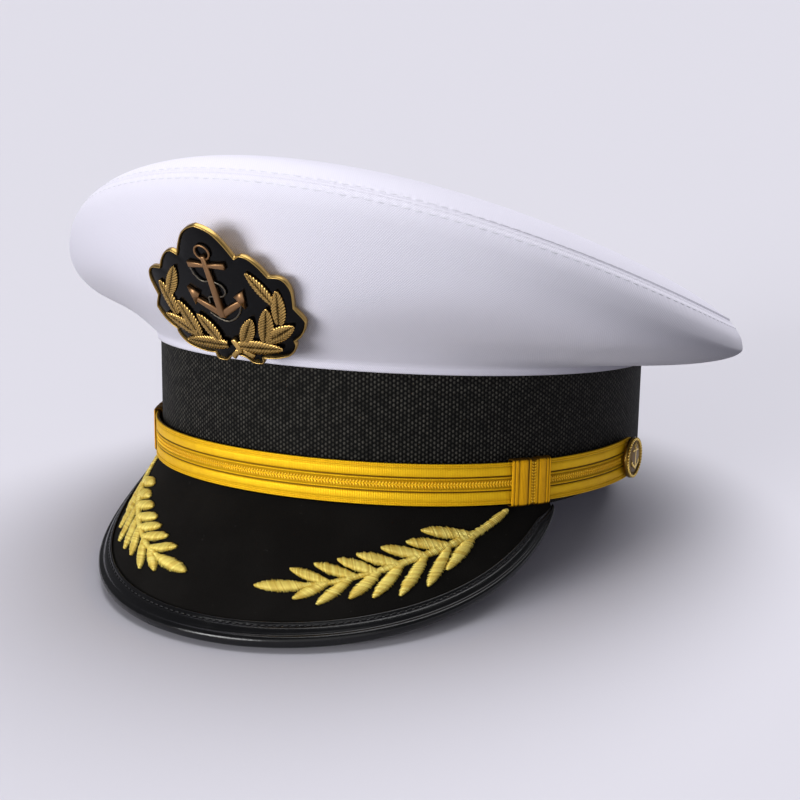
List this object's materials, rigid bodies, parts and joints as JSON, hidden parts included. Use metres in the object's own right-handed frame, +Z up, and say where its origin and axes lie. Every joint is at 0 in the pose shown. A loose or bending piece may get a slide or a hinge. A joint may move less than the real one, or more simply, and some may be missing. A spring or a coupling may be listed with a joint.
{
  "type": "captain hat",
  "caption": "Peaked captain hat: wide white crown on a black woven band, felt visor with a gloss binding and gold laurel sprays, gold chin strap and an anchor badge.",
  "frame": {"origin": "centre of the bounding box's bottom, on the surface that the hat rests on", "axes": "+Z up, -Y towards the visor at the front, +X towards the wearer's left"},
  "size_m": [0.266, 0.2712, 0.1561],
  "materials": {
    "twill": "matte white twill",
    "braid": "matte black woven band",
    "felt": "matte black felt",
    "gloss": "gloss black binding",
    "thread": "gold satin stitch embroidery",
    "strap": "gold braided strap",
    "brass": "antique gold metal",
    "enamel": "gloss black enamel"
  },
  "bodies": {
    "root": {"crown_top": "twill", "crown_side": "twill", "band": "braid", "visor": "felt", "visor_binding": "gloss", "spray_left": "thread", "spray_right": "thread", "chin_strap": "strap", "keeper_left": "strap", "keeper_right": "strap", "button_left": "brass", "button_right": "brass", "badge_plate": "brass", "badge_enamel": "enamel", "badge_wreath": "brass", "badge_anchor": "brass"}
  },
  "joints": []
}
